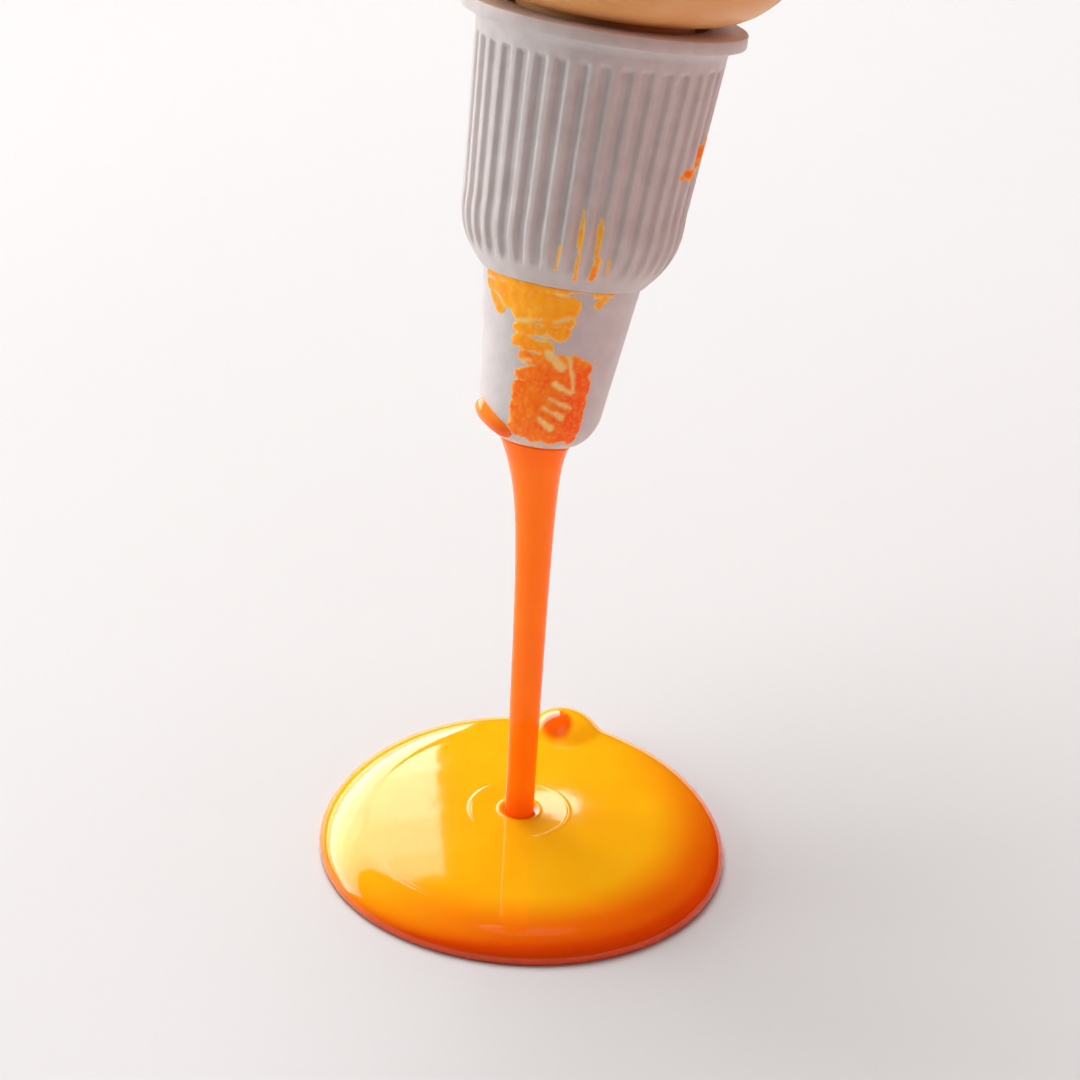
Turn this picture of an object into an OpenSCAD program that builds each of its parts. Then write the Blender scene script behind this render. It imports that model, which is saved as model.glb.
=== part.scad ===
// Inverted squeeze bottle of paint, pouring through a push-pull spout.
// All sizes in millimetres. Z = 0 is the table, the origin is where the
// stream lands. The bottle's own axis leans; every closure and bottle
// height below is counted along that axis from the spout's lip plane.

/* [Pour pose] */
// Height of the lip's centre above the table
lip_height = 67.44; // [50:0.01:90]
// Sideways offset of the lip from the landing point
lip_offset = -0.76; // [-3:0.01:3]
// Lean of the bottle axis from upright, degrees
lean = 19.6; // [5:0.1:35]
// Heading the bottle's base leans to, from +X towards +Y, degrees
lean_heading = 71.85; // [0:0.05:180]

/* [Spout] */
// Radius of the flat end face of the lip
lip_flat_r = 3.6; // [3.3:0.05:6]
// Radius just above the lip's rounding
lip_r = 8.65; // [7:0.05:10]
// Height of the lip's rounding along the axis
lip_round_h = 5.1; // [2:0.1:6]
// Radius where the spout enters the collar
spout_root_r = 11.15; // [10:0.05:12]
// Radius of the pouring hole
orifice_r = 3.0; // [1.5:0.05:4]
// Height of the spout's hidden upper end
spout_end_h = 34.0; // [30:0.1:36]

/* [Collar] */
// Height of the collar's mouth, where the spout comes out
mouth_h = 24.2; // [20:0.1:30]
// Height at which the rounded shoulder meets the ribbed cone
shoulder_h = 34.8; // [30:0.1:38]
// Rib crest radius at the shoulder
crest_low_r = 15.7; // [14:0.05:17]
// Rib crest radius at the plain band
crest_high_r = 17.55; // [16:0.05:19]
// Height of the plain band above the ribs
band_h = 56.8; // [50:0.1:60]
// Flange radius at the wide end
flange_r = 20.0; // [18:0.1:23]
// Height of the collar's wide end
collar_end_h = 61.5; // [58:0.1:66]
// Number of grip ribs
rib_count = 36; // [24:1:60]
// Height of a rib crest above the cone between ribs
rib_rise = 0.55; // [0.2:0.05:1]

/* [Neck and thread] */
// Axial distance the bottle travels in one turn
thread_pitch = 4.2; // [3:0.1:5]
// Radius of the collar's threaded bore between ridges
bore_r = 14.1; // [12:0.05:16]
// Radius of the bottle's neck between ridges
neck_r = 12.6; // [11:0.05:14]
// Height of the neck's sealing lip
neck_lip_h = 42.2; // [40:0.1:46]

/* [Bottle] */
// Outer radius of the bottle's body
body_r = 27.0; // [22:0.5:35]
// Wall thickness of the blown bottle
wall = 1.1; // [0.8:0.1:2]
// Height at which the shoulder reaches the full radius
body_start_h = 77.0; // [70:0.5:90]
// Height of the bottle's base
base_h = 194.0; // [150:1:230]
// Height of the paint surface above the table
paint_level = 169.3; // [145:0.1:190]

/* [Pour and puddle] */
// Radius of the stream where it meets the puddle
stream_foot_r = 2.13; // [1.5:0.01:3]
// Radius of the puddle
puddle_r = 29.9; // [20:0.1:45]
// Thickness of the puddle at its middle
puddle_thickness = 4.9; // [3:0.1:8]
// Distance from the landing point back to the puddle's middle
puddle_shift = 2.1; // [0:0.1:15]

/* [Hidden] */
$fn = 72;

// running and safety gaps
guide_gap = 0.08;
free_gap = 0.3;
skin_gap = 0.1;

// collar inside
well_r = spout_root_r + 0.23;
mouth_edge_r = 11.55;
rib_start_h = 26.3;
well_floor_h = 38.4;
deck_h = 40.4;
chimney_r = 6.0;
chimney_bore_r = 4.4;
chimney_end_h = 6.6;
bead_h = 20.0;
bead_rise = 0.6;
bead_len = 1.2;
coring_in_r = 12.75;
coring_out_r = 13.6;
coring_end_h = 30.5;
plug_r = orifice_r - 0.07;
plug_tip_h = 3.9;
plug_root_h = 10.0;
plug_arm = 1.2;

// thread ridges
ridge_tip = 1.0;
ridge_root = 1.9;
female_crest_r = 13.0;
male_crest_r = 13.7;
female_start_h = 49.6;
male_start_h = female_start_h - thread_pitch / 2;
ridge_turns = 1.0;
ridge_step = 12;
ridge_bury = 0.4;
fade_angle = 36;

// liner, neck and bottle
liner_bottom_h = deck_h + free_gap;
liner_top_h = neck_lip_h - free_gap;
liner_r = 13.7;
liner_hole_r = 5.2;
neck_bore_r = 10.6;
neck_foot_h = 62.2;
neck_foot_r = 13.4;
foot_edge_r = 4.0;
pushup_depth = 4.0;
pushup_r = 17.0;

// paint
fill_gap = 0.2;
core_r = 4.2;
core_end_h = 10.6;
film = 0.18;
film_gap = 0.045;
smear_low_h = 2.4;
fill_top_h = 130;
edge_run = 7.0;
edge_bulge_h = 0.9;
edge_undercut = 0.35;
dimple_r = 2.4;
dimple_drop = 0.25;
landing_top = puddle_thickness - 0.3;
puddle_side = 0.6;
rim_drop = 0.7;
fold_at = [5.7, 23.1];
fold_r = 6.3;
fold_waist_h = 0.8;
fold_top = 6.5;
stream_rings = 30;
stream_sides = 40;

white = [0.93, 0.92, 0.92];
paint = [1.0, 0.52, 0.05];
bottle_white = [0.95, 0.95, 0.93];

// point on an elliptical arc
function on_ellipse(cx, cy, rx, ry, t) = [cx + rx * cos(t), cy + ry * sin(t)];
function sweep(cx, cy, rx, ry, from, to, n) =
    [for (i = [0:n]) on_ellipse(cx, cy, rx, ry, from + (to - from) * i / n)];

// spout outer radius at a height above the lip plane
function spout_outer(h) = h < lip_round_h
    ? lip_flat_r + (lip_r - lip_flat_r) * pow(1 - pow(1 - h / lip_round_h, 1.5), 0.45)
    : lip_r + (spout_root_r - lip_r) * min(1, (h - lip_round_h) / (mouth_h - lip_round_h));
// heights that trace the spout's outline well from one height to another
function spout_heights(low, high) =
    [for (i = [0:12]) low + (high - low) * pow(i / 12, 2)];
// point on the collar's rounded shoulder, sunk by a depth that fades in from where the ribs start
function shoulder_point(t, depth) =
    let (h = shoulder_h - (shoulder_h - mouth_h) * pow(cos(t), 0.73),
         r = mouth_edge_r + (crest_low_r - mouth_edge_r) * pow(sin(t), 2.16))
    [r - depth * max(0, min(1, (h - rib_start_h) / 2.5)), h];
function shoulder_line(depth) = [for (i = [0:12]) shoulder_point(90 * i / 12, depth)];
// rib crest radius of the collar's cone
function crest(h) = crest_low_r
    + (crest_high_r - crest_low_r) * (h - shoulder_h) / (band_h - shoulder_h);

module on_axis() {
    translate([lip_offset, 0, lip_height]) rotate([0, lean, lean_heading]) children();
}

// helical ridge between an inner and an outer radius, fading at both ends
module ridge(inner_r, outer_r, inner_half, outer_half, start_h, crest_inside) {
    steps = round(ridge_turns * 360 / ridge_step);
    depth = outer_r - inner_r;
    function fade(i) = min(1, i * ridge_step / fade_angle, (steps - i) * ridge_step / fade_angle);
    function lost(i) = (1 - fade(i)) * (depth - ridge_bury * 0.6);
    function r_in(i) = inner_r + (crest_inside ? lost(i) : 0);
    function r_out(i) = outer_r - (crest_inside ? 0 : lost(i));
    function at(i, r, dh) = [r * cos(i * ridge_step), r * sin(i * ridge_step),
                             start_h + thread_pitch * i * ridge_step / 360 + dh];
    points = [for (i = [0:steps]) each [
        at(i, r_in(i), -inner_half), at(i, r_out(i), -outer_half),
        at(i, r_out(i), outer_half), at(i, r_in(i), inner_half)]];
    sides = [for (i = [0:steps - 1], k = [0:3])
        let (a = 4 * i + k, b = 4 * i + (k + 1) % 4) each [[a, b, b + 4], [a, b + 4, a + 4]]];
    last = 4 * steps;
    polyhedron(points, concat(sides,
        [[3, 2, 1], [3, 1, 0], [last, last + 1, last + 2], [last, last + 2, last + 3]]));
}

// solid outside of the collar, with the cone between the ribs
module collar_outside() {
    rotate_extrude() polygon(concat([[0, mouth_h]], shoulder_line(rib_rise + 0.1),
        [[crest(band_h) - rib_rise - 0.1, band_h - 0.8], [crest(band_h), band_h]],
        sweep(crest_high_r + 2.0, band_h + 0.8, -1.95, 1.9, 0, 90, 8),
        [[flange_r - 0.3, band_h + 2.7], [flange_r, band_h + 3.0],
         [flange_r, collar_end_h - 0.3], [flange_r - 0.3, collar_end_h], [0, collar_end_h]]));
}

// tapered frustum of soft grip ribs, rounded off over the shoulder
module grip_ribs() {
    high_h = band_h - 0.3;
    points_per_rib = 6;
    count = rib_count * points_per_rib;
    intersection() {
        translate([0, 0, rib_start_h])
            linear_extrude(height = high_h - rib_start_h, scale = crest(high_h) / crest(rib_start_h))
                polygon([for (i = [0:count - 1]) let (u = 360 * i / count,
                    r = crest(rib_start_h) - rib_rise / 2 * (1 + cos(rib_count * u)))
                    [r * cos(u), r * sin(u)]]);
        rotate_extrude() polygon(concat([[0, mouth_h]], shoulder_line(0),
            [[crest_high_r + 0.1, high_h - 0.7], [crest_high_r - 0.5, high_h + 0.3],
             [0, high_h + 0.3]]));
    }
}

// everything taken out of the collar from the bottle's side and from the mouth
module collar_hollows() {
    rotate_extrude() polygon([[0, deck_h], [bore_r, deck_h], [bore_r, collar_end_h - 0.4],
        [bore_r + 0.5, collar_end_h + 0.1], [0, collar_end_h + 0.1]]);
    rotate_extrude() polygon([[0, mouth_h - 0.1], [well_r + 0.2, mouth_h - 0.1],
        [well_r, mouth_h + 0.2], [well_r, well_floor_h], [0, well_floor_h]]);
    rotate_extrude() polygon([[coring_in_r, coring_end_h], [coring_out_r, coring_end_h],
        [coring_out_r, deck_h + 0.1], [coring_in_r, deck_h + 0.1]]);
}

// tube the spout slides on, with the bead that stops it
module chimney() {
    rotate_extrude() polygon([[0, chimney_end_h], [chimney_r - 0.3, chimney_end_h],
        [chimney_r, chimney_end_h + 0.3], [chimney_r, bead_h],
        [chimney_r + bead_rise, bead_h + 0.3], [chimney_r + bead_rise, bead_h + bead_len - 0.2],
        [chimney_r, bead_h + bead_len], [chimney_r, deck_h - 0.8], [0, deck_h - 0.8]]);
}

// stopper that closes the orifice when the spout is pushed in
module plug() {
    translate([0, 0, plug_tip_h + 0.8]) cylinder(r = plug_r, h = plug_root_h - plug_tip_h - 0.8);
    translate([0, 0, plug_tip_h]) cylinder(r1 = plug_r - 0.8, r2 = plug_r, h = 0.8);
    for (k = [0:2]) rotate([0, 0, 120 * k])
        translate([plug_r - 1, -plug_arm / 2, chimney_end_h + 0.4])
            cube([chimney_bore_r - plug_r + 1.4, plug_arm, plug_root_h - chimney_end_h - 0.4]);
}

module collar() {
    color(white) on_axis() {
        difference() {
            union() {
                difference() {
                    union() {
                        collar_outside();
                        grip_ribs();
                    }
                    collar_hollows();
                }
                chimney();
            }
            translate([0, 0, chimney_end_h - 1])
                cylinder(r = chimney_bore_r, h = deck_h + 2 - chimney_end_h);
        }
        plug();
        ridge(female_crest_r, bore_r + ridge_bury, ridge_tip / 2, ridge_root / 2,
              female_start_h, true);
    }
}

module spout() {
    ring_h = bead_h + bead_len + 0.4;
    outline = concat(
        [for (h = spout_heights(0, mouth_h)) [spout_outer(h), h]],
        [[spout_root_r, spout_end_h - 2.8], [well_r - guide_gap, spout_end_h - 2.4],
         [well_r - guide_gap, spout_end_h - 0.4], [well_r - guide_gap - 0.4, spout_end_h],
         [9.6, spout_end_h], [9.6, ring_h + 1.4], [chimney_r + guide_gap, ring_h + 1.2],
         [chimney_r + guide_gap, ring_h], [chimney_r + bead_rise + guide_gap, ring_h - 0.2],
         [chimney_r + bead_rise + guide_gap, 2.4], [orifice_r, 2.4], [orifice_r, 0]]);
    color(white) on_axis() rotate_extrude() polygon(outline);
}

// film of paint that runs down the spout and drifts round it as it falls
module spout_smear() {
    rows = 20;
    cols = 16;
    layer = (rows + 1) * (cols + 1);
    top_h = mouth_h - 0.5;
    function height(i) = top_h + (smear_low_h - top_h) * i / rows;
    function from(i) = 128 + 34 * pow(sin(90 * min(1, 1.6 * i / rows)), 2);
    function to(i) = 198 + 36 * i / rows - 10 * pow(i / rows, 8);
    function at(i, j, lift) = let (h = height(i), u = from(i) + (to(i) - from(i)) * j / cols)
        [(spout_outer(h) + lift) * cos(u), (spout_outer(h) + lift) * sin(u), h];
    function cell(a, b, c, d) = [[a, b, c], [a, c, d]];
    points = [for (lift = [film_gap, film_gap + film], i = [0:rows], j = [0:cols]) at(i, j, lift)];
    w = cols + 1;
    faces = concat(
        [for (i = [0:rows - 1], j = [0:cols - 1]) let (k = i * w + j)
            each cell(k, k + 1, k + 1 + w, k + w)],
        [for (i = [0:rows - 1], j = [0:cols - 1]) let (k = layer + i * w + j)
            each cell(k, k + w, k + 1 + w, k + 1)],
        [for (j = [0:cols - 1]) each cell(j, layer + j, layer + j + 1, j + 1)],
        [for (j = [0:cols - 1]) let (k = rows * w + j)
            each cell(k, k + 1, layer + k + 1, layer + k)],
        [for (i = [0:rows - 1]) let (k = i * w) each cell(k, k + w, layer + k + w, layer + k)],
        [for (i = [0:rows - 1]) let (k = i * w + cols)
            each cell(k, layer + k, layer + k + w, k + w)]);
    color(paint) on_axis() polyhedron(points, faces);
}

// bead of paint hanging on the side of the lip
module lip_drip() {
    color(paint) on_axis() difference() {
        rotate([0, 0, 128]) {
            hull() {
                translate([7.6, -0.6, 4.0]) sphere(r = 1.75, $fn = 28);
                translate([6.9, 1.6, 2.6]) sphere(r = 1.5, $fn = 28);
            }
            hull() {
                translate([6.9, 1.6, 2.6]) sphere(r = 1.5, $fn = 28);
                translate([5.9, 2.9, 1.5]) sphere(r = 1.25, $fn = 28);
            }
        }
        rotate_extrude() polygon(concat([[0, -0.02]],
            [for (h = spout_heights(0, mouth_h)) [spout_outer(h) + 0.02, h - 0.02]],
            [[0, mouth_h]]));
    }
}

module liner_wad() {
    color([0.85, 0.86, 0.88]) on_axis() rotate_extrude() polygon([
        [liner_hole_r, liner_bottom_h], [liner_r, liner_bottom_h],
        [liner_r, liner_top_h], [liner_hole_r, liner_top_h]]);
}

// inside outline of the bottle's neck and shoulder
function neck_inside(gap) = concat(
    [[neck_bore_r - gap, neck_lip_h], [neck_bore_r - gap, neck_foot_h]],
    sweep(neck_foot_r - wall, body_start_h, body_r - neck_foot_r - gap,
          neck_foot_h + wall + gap - body_start_h, 90, 0, 10));

// The bottle is one moulding. It is made as three solids that meet face to face:
// the neck and shoulder, the straight wall, and the foot.
module bottle_neck() {
    outer = concat([[neck_r, neck_lip_h], [neck_r, neck_foot_h]],
        sweep(neck_foot_r, body_start_h, body_r - neck_foot_r, neck_foot_h - body_start_h, 90, 0, 12));
    inside = neck_inside(0);
    color(bottle_white) on_axis() {
        rotate_extrude() polygon(concat(outer, [for (i = [len(inside) - 1:-1:0]) inside[i]]));
        ridge(neck_r - ridge_bury, male_crest_r, ridge_root / 2, ridge_tip / 2,
              male_start_h, false);
    }
}

module bottle_body() {
    foot_h = base_h - foot_edge_r;
    color(bottle_white) on_axis() rotate_extrude() polygon([
        [body_r, body_start_h], [body_r, foot_h], [body_r - wall, foot_h],
        [body_r - wall, body_start_h]]);
}

module bottle_foot() {
    outer = concat(
        sweep(body_r - foot_edge_r, base_h - foot_edge_r, foot_edge_r, foot_edge_r, 0, 90, 6),
        [[pushup_r, base_h], [0, base_h - pushup_depth]]);
    inside = concat(
        sweep(body_r - foot_edge_r, base_h - foot_edge_r, foot_edge_r - wall,
              foot_edge_r - wall, 0, 90, 5),
        [[pushup_r + 1, base_h - wall], [0, base_h - pushup_depth - wall]]);
    color(bottle_white) on_axis()
        rotate_extrude() polygon(concat(outer, [for (i = [len(inside) - 1:-1:0]) inside[i]]));
}

// the paint that is left in the bottle, level on top, and its core in the collar
module paint_fill() {
    color(paint) intersection() {
        on_axis() rotate([0, 0, 40]) rotate_extrude() polygon(concat(
            [[0, core_end_h], [core_r, core_end_h], [core_r, neck_lip_h]], neck_inside(fill_gap),
            [[body_r - wall - fill_gap, fill_top_h], [0, fill_top_h]]));
        translate([-100, -100, 0]) cube([250, 250, paint_level]);
    }
}

// falling stream: wide under the lip, thinning as it speeds up
module paint_stream() {
    top = lip_height;
    function drop(i) = (top - landing_top + dimple_drop) * pow(i / stream_rings, 1.7);
    function radius(s) = stream_foot_r + 1.45 * exp(-s / 18) + 1.42 * exp(-s / 4.5) - 0.05;
    function slide(s) = lip_offset * exp(-pow(s / 8, 1.3));
    function tip(s) = lean * exp(-s / 6);
    function ring(s) = [for (k = [0:stream_sides - 1])
        let (u = 360 * k / stream_sides, x = radius(s) * cos(u) * cos(tip(s)),
             y = radius(s) * sin(u), z = -radius(s) * cos(u) * sin(tip(s)))
        [slide(s) + x * cos(lean_heading) - y * sin(lean_heading),
         x * sin(lean_heading) + y * cos(lean_heading), top - skin_gap - s + z]];
    last = stream_rings * stream_sides;
    points = [for (i = [0:stream_rings]) each ring(drop(i) * (1 - skin_gap / (top - landing_top)))];
    sides = [for (i = [0:stream_rings - 1], k = [0:stream_sides - 1])
        let (a = i * stream_sides + k, b = i * stream_sides + (k + 1) % stream_sides)
        each [[a, b, b + stream_sides], [a, b + stream_sides, a + stream_sides]]];
    color(paint) polyhedron(points, concat(
        [[for (k = [stream_sides - 1:-1:0]) k]], sides,
        [[for (k = [0:stream_sides - 1]) last + k]]));
}

module paint_puddle() {
    edge_top = puddle_thickness - rim_drop;
    profile = concat(
        [[0, 0], [puddle_r - edge_undercut, 0]],
        sweep(puddle_r - edge_run, edge_bulge_h, edge_run, edge_top - edge_bulge_h, 0, 90, 12),
        [for (i = [1:6]) let (r = (puddle_r - edge_run) * (1 - i / 6))
            [r, edge_top + (puddle_thickness - edge_top) * (1 - pow(r / (puddle_r - edge_run), 2))]]);
    color(paint) difference() {
        union() {
            translate([puddle_side, -puddle_shift, 0]) rotate_extrude($fn = 96) polygon(profile);
            // fold of thicker paint at the back edge
            translate([fold_at[0], fold_at[1], 0]) rotate_extrude() polygon(concat(
                [[0, 0], [fold_r - 0.2, 0]],
                sweep(0, fold_waist_h, fold_r, fold_top - fold_waist_h, 0, 90, 10)));
        }
        translate([0, 0, landing_top - dimple_drop]) cylinder(r = dimple_r, h = 5);
    }
}

collar();
spout();
spout_smear();
lip_drip();
liner_wad();
bottle_neck();
bottle_body();
bottle_foot();
paint_fill();
paint_stream();
paint_puddle();
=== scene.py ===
"""Looks of an inverted squeeze bottle of orange paint that pours into a round puddle.

Lengths are in millimetres in the shape functions and turned into metres when a mesh is made.
Closure heights h run along the bottle's leaning axis from the spout's lip, and angles turn round it.
"""

import math

import bpy
import numpy as np
from mathutils import Matrix, Vector, noise


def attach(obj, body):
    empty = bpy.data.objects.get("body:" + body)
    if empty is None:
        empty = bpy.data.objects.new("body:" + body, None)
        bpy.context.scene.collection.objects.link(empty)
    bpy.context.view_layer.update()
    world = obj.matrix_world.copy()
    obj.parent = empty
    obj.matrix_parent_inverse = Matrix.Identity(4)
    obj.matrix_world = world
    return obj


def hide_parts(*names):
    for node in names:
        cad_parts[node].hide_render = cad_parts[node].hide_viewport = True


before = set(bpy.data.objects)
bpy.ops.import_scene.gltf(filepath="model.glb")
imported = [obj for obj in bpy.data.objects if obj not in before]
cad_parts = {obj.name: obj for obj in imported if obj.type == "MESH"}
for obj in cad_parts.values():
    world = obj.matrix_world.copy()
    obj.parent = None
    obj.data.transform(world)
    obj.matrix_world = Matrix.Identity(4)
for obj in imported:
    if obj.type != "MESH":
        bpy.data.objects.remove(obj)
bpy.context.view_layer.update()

MM = 0.001

# pour pose
LIP = np.array([-0.76, 0.0, 67.44])
LEAN = math.radians(19.6)
HEADING = math.radians(71.85)
AXIS_X = np.array([math.cos(LEAN) * math.cos(HEADING), math.cos(LEAN) * math.sin(HEADING),
                   -math.sin(LEAN)])
AXIS_Y = np.array([-math.sin(HEADING), math.cos(HEADING), 0.0])
AXIS_UP = np.cross(AXIS_X, AXIS_Y)
PAINT_LEVEL = 169.3

# closure and bottle sizes, as the frame has them
MOUTH_H, SHOULDER_H, BAND_H, COLLAR_END_H = 24.2, 34.8, 56.8, 61.5
MOUTH_R, CREST_LOW_R, CREST_HIGH_R, FLANGE_R = 11.55, 15.7, 17.55, 20.0
RIB_COUNT, RIB_RISE, RIB_START_H = 36, 0.55, 26.3
WELL_R, WELL_FLOOR_H, DECK_H, BORE_R = 11.38, 38.4, 40.4, 14.1
CHIMNEY_R, CHIMNEY_BORE_R, CHIMNEY_END_H = 6.0, 4.4, 6.6
PITCH, THREAD_H = 4.2, 49.6
NECK_R, NECK_BORE_R, NECK_LIP_H, NECK_FOOT_H = 12.6, 10.6, 42.2, 62.2
BODY_R, BODY_START_H, BASE_H, WALL = 27.0, 77.0, 194.0, 1.1

# puddle
PUDDLE_X, PUDDLE_Y, PUDDLE_R = 0.63, -2.14, 29.89
PUDDLE_TOP, EDGE_TOP, EDGE_RUN, BULGE_H = 4.9, 4.2, 7.0, 0.9
FOLD_X, FOLD_Y, FOLD_R, FOLD_WAIST, FOLD_TOP = 5.7, 23.1, 6.3, 0.8, 6.5
# where a reflection is painted on the fold, as a redder spot
REFLECTION_SPOT_X, REFLECTION_SPOT_Y = 4.9, 21.4


# ---------------------------------------------------------------- mesh helpers

def closure_to_world(points):
    """Points (x, y, height) of the leaning closure as world points, in millimetres."""
    return LIP + points[..., :1] * AXIS_X + points[..., 1:2] * AXIS_Y + points[..., 2:] * AXIS_UP


def around(radius, theta, height):
    """Closure points at a radius, an angle in degrees and a height."""
    turn = np.radians(theta)
    return np.stack(np.broadcast_arrays(radius * np.cos(turn), radius * np.sin(turn),
                                        height), axis=-1)


def mesh_piece(name, points, faces, material, body=None):
    """An object from points in millimetres and faces, riding on a body."""
    data = bpy.data.meshes.new(name)
    data.from_pydata((np.asarray(points).reshape(-1, 3) * MM).tolist(), [], faces)
    data.validate()
    data.polygons.foreach_set("use_smooth", [True] * len(data.polygons))
    data.materials.append(material)
    piece = bpy.data.objects.new(name, data)
    bpy.context.scene.collection.objects.link(piece)
    if body:
        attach(piece, body)
    return piece


def ring_faces(rows, columns, closed_rows=False):
    """Quads over a grid that closes round its columns."""
    faces = []
    for i in range(rows if closed_rows else rows - 1):
        a, b = i * columns, ((i + 1) % rows) * columns
        for j in range(columns):
            k = (j + 1) % columns
            faces.append((a + j, a + k, b + k, b + j))
    return faces


def lathe(name, grid, material, body, slot, loop=False, inward=False):
    """A turned shell from a grid of points. An open grid gets a fan at each end, a loop joins up."""
    rows, columns = grid.shape[:2]
    points = grid.reshape(-1, 3)
    faces = ring_faces(rows, columns, loop)
    if not loop:
        ends = np.array([grid[0].mean(axis=0), grid[-1].mean(axis=0)])
        points = np.vstack([points, ends])
        low, high, last = rows * columns, rows * columns + 1, (rows - 1) * columns
        for j in range(columns):
            k = (j + 1) % columns
            faces += [(low, k, j), (high, last + j, last + k)]
    if inward:
        faces = [face[::-1] for face in faces]
    return mesh_piece(name, points, faces, material, body)


def set_attribute(piece, name, values):
    """A value on each point of a mesh, for its material."""
    layer = piece.data.attributes.new(name, "FLOAT", "POINT")
    layer.data.foreach_set("value", np.asarray(values, np.float32).ravel())


def sharp_by_angle(piece, degrees):
    """Keeps moulded edges crisp on a smooth shaded mesh."""
    bpy.context.view_layer.objects.active = piece
    piece.select_set(True)
    bpy.ops.object.shade_smooth_by_angle(angle=math.radians(degrees))
    piece.select_set(False)


def fine(values, step):
    """A profile with points added so that no step along it is longer than the given one."""
    out = [values[0]]
    for a, b in zip(values[:-1], values[1:]):
        count = max(1, math.ceil(math.dist(a, b) / step))
        out += [(a[0] + (b[0] - a[0]) * i / count, a[1] + (b[1] - a[1]) * i / count)
                for i in range(1, count + 1)]
    return out


def arc(cx, cy, rx, ry, start, end, count):
    """Points on an elliptical arc, angles in degrees."""
    return [(cx + rx * math.cos(math.radians(start + (end - start) * i / count)),
             cy + ry * math.sin(math.radians(start + (end - start) * i / count)))
            for i in range(count + 1)]


def smooth(edge0, edge1, x):
    """A soft step from 0 to 1 between two edges."""
    t = np.clip((x - edge0) / (edge1 - edge0), 0, 1)
    return t * t * (3 - 2 * t)


def noise_at(x, y, z, scale):
    """Seeded-by-place noise between about -1 and 1 for arrays of millimetre positions."""
    flat = np.stack(np.broadcast_arrays(x, y, z), axis=-1).reshape(-1, 3) * scale
    values = [noise.noise(Vector(p)) for p in flat]
    return np.array(values).reshape(np.broadcast(x, y, z).shape)


# ---------------------------------------------------------------- shapes of the closure

def spout_radius(h):
    """Outer radius of the spout at a height above the lip."""
    h = np.asarray(h, float)
    rounding = 3.6 + 5.05 * (1 - np.clip(1 - h / 5.1, 0, 1) ** 1.5) ** 0.45
    cone = 8.65 + 2.5 * np.minimum(1, (h - 5.1) / 19.1)
    return np.where(h < 5.1, rounding, cone)


def shoulder_radius(h):
    """Radius of the collar's rounded shoulder at a height."""
    cos_t = np.clip((SHOULDER_H - h) / (SHOULDER_H - MOUTH_H), 0, 1) ** (1 / 0.73)
    sin_t = np.sqrt(np.clip(1 - cos_t ** 2, 0, 1))
    return MOUTH_R + (CREST_LOW_R - MOUTH_R) * sin_t ** 2.16


def crest_radius(h):
    """Radius of the rib crests on the cone."""
    return CREST_LOW_R + (CREST_HIGH_R - CREST_LOW_R) * (h - SHOULDER_H) / (BAND_H - SHOULDER_H)


def collar_radius(theta, h):
    """Outer radius of the collar, ribs and all, from its mouth to the plain band."""
    wave = 0.5 + 0.5 * np.cos(RIB_COUNT * np.radians(theta))
    groove = smooth(0.12, 0.88, wave)
    fade = smooth(RIB_START_H, RIB_START_H + 2.5, h) * (1 - smooth(BAND_H - 0.8, BAND_H, h))
    outside = np.where(h < SHOULDER_H, shoulder_radius(h), crest_radius(h))
    return outside - (RIB_RISE + 0.08) * groove * fade


# ---------------------------------------------------------------- materials

def nodes_of(name):
    """A new material, with its node tree and its main shader."""
    material = bpy.data.materials.new(name)
    material.use_nodes = True
    tree = material.node_tree
    return material, tree, tree.nodes["Principled BSDF"]


def add(tree, kind, **settings):
    """A new node with its sockets and settings filled in."""
    node = tree.nodes.new(kind)
    for key, value in settings.items():
        if key in node.inputs:
            node.inputs[key].default_value = value
        else:
            setattr(node, key, value)
    return node


def grain(tree, scale, detail=4.0, roughness=0.55):
    """Noise in the object's own place, in cycles per metre."""
    place = add(tree, "ShaderNodeTexCoord")
    texture = add(tree, "ShaderNodeTexNoise", Scale=scale, Detail=detail, Roughness=roughness)
    tree.links.new(place.outputs["Object"], texture.inputs["Vector"])
    return texture.outputs["Fac"]


def ramp(tree, source, low, high, start=0.35, end=0.65):
    """A two-colour ramp over a value."""
    node = add(tree, "ShaderNodeValToRGB")
    node.color_ramp.elements[0].position = start
    node.color_ramp.elements[0].color = (*low, 1)
    node.color_ramp.elements[1].position = end
    node.color_ramp.elements[1].color = (*high, 1)
    tree.links.new(source, node.inputs["Fac"])
    return node.outputs["Color"]


def spread(tree, source, low, high):
    """A value mapped to a range, for roughness."""
    node = add(tree, "ShaderNodeMapRange", **{"To Min": low, "To Max": high})
    tree.links.new(source, node.inputs["Value"])
    return node.outputs["Result"]


def bump(tree, shader, height, distance, strength=1.0):
    """Fine relief from a height value, with its distance in metres."""
    node = add(tree, "ShaderNodeBump", Strength=strength, Distance=distance)
    tree.links.new(height, node.inputs["Height"])
    tree.links.new(node.outputs["Normal"], shader.inputs["Normal"])


def mix_by_attribute(tree, attribute, base, over, span=(0.0, 1.0)):
    """One colour over another where the mesh's own attribute says, over a span of its values."""
    layer = add(tree, "ShaderNodeAttribute", attribute_name=attribute)
    share = add(tree, "ShaderNodeMapRange", **{"From Min": span[0], "From Max": span[1]})
    node = add(tree, "ShaderNodeMix", data_type="RGBA")
    tree.links.new(layer.outputs["Fac"], share.inputs["Value"])
    tree.links.new(share.outputs["Result"], node.inputs["Factor"])
    tree.links.new(base, node.inputs["A"])
    tree.links.new(over, node.inputs["B"])
    return node.outputs["Result"]


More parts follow.
